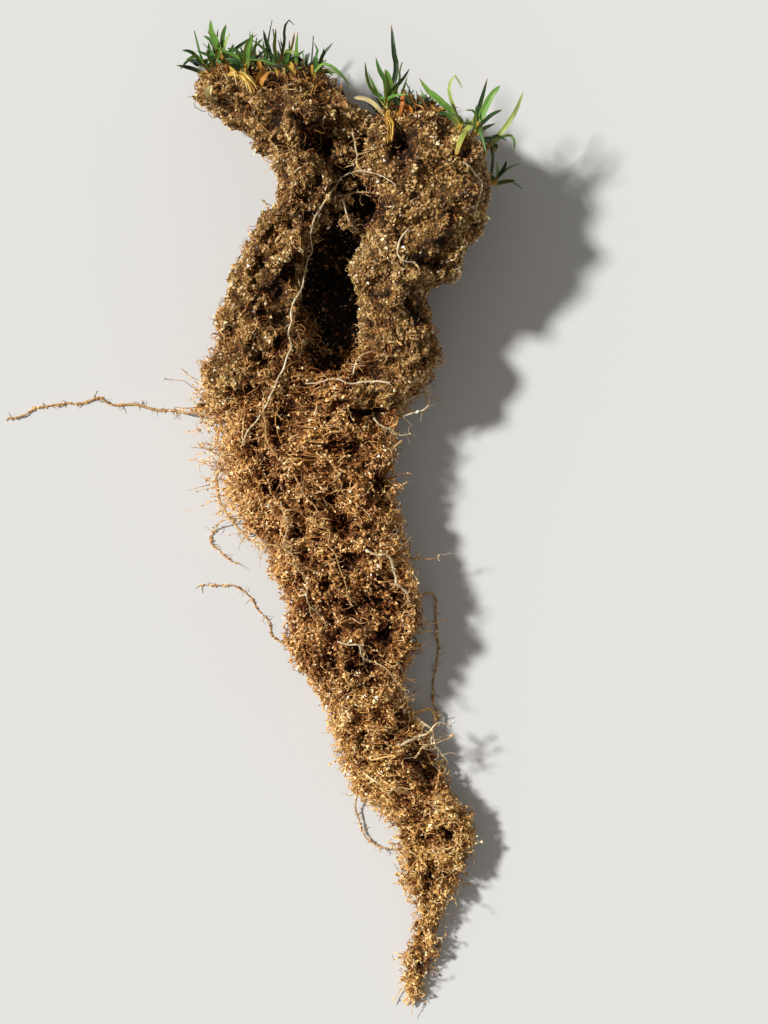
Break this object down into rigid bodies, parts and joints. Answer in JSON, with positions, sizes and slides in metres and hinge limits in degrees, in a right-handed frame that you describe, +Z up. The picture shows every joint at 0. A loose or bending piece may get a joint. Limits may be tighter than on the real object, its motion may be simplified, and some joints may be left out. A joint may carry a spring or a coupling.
{
  "type": "turf plug",
  "caption": "Plug of short sports turf lying on its side: sandy soil split by a cleft, grass at one end, a root mat and a thin root tail at the other.",
  "frame": {"origin": "on the floor under the root mat, on its flat underside", "axes": "+Y from the root tip to the grass, +X to the right seen from above with the grass at the top, +Z up from the floor"},
  "size_m": [0.0753, 0.1398, 0.0243],
  "materials": {
    "sandy_root_zone": "rough moist sand",
    "root_felt": "matted fibres",
    "pale_root": "satin",
    "grass_leaf": "waxy satin",
    "dead_sheath": "dry satin"
  },
  "bodies": {
    "root": {"left_soil_column": "sandy_root_zone", "right_soil_column": "sandy_root_zone", "root_mat": "root_felt", "root_tail": "root_felt", "grass_left_corner": "grass_leaf", "grass_left_front": "grass_leaf", "grass_left": "grass_leaf", "grass_middle_left": "grass_leaf", "grass_arching": "grass_leaf", "grass_centre": "grass_leaf", "grass_right_middle": "grass_leaf", "grass_right": "grass_leaf", "grass_far_right": "grass_leaf", "grass_low_right": "grass_leaf", "yellow_runners": "dead_sheath", "dead_sheaths": "dead_sheath", "long_white_root": "pale_root", "cross_root": "pale_root", "curled_root": "pale_root", "edge_root": "pale_root", "stray_left_root": "pale_root", "net_loop_upper": "pale_root", "net_loop_lower": "pale_root", "left_hanging_root": "pale_root", "left_low_root": "pale_root", "right_hanging_root": "pale_root", "tail_left_strand": "pale_root", "tail_side_roots": "pale_root"}
  },
  "joints": []
}
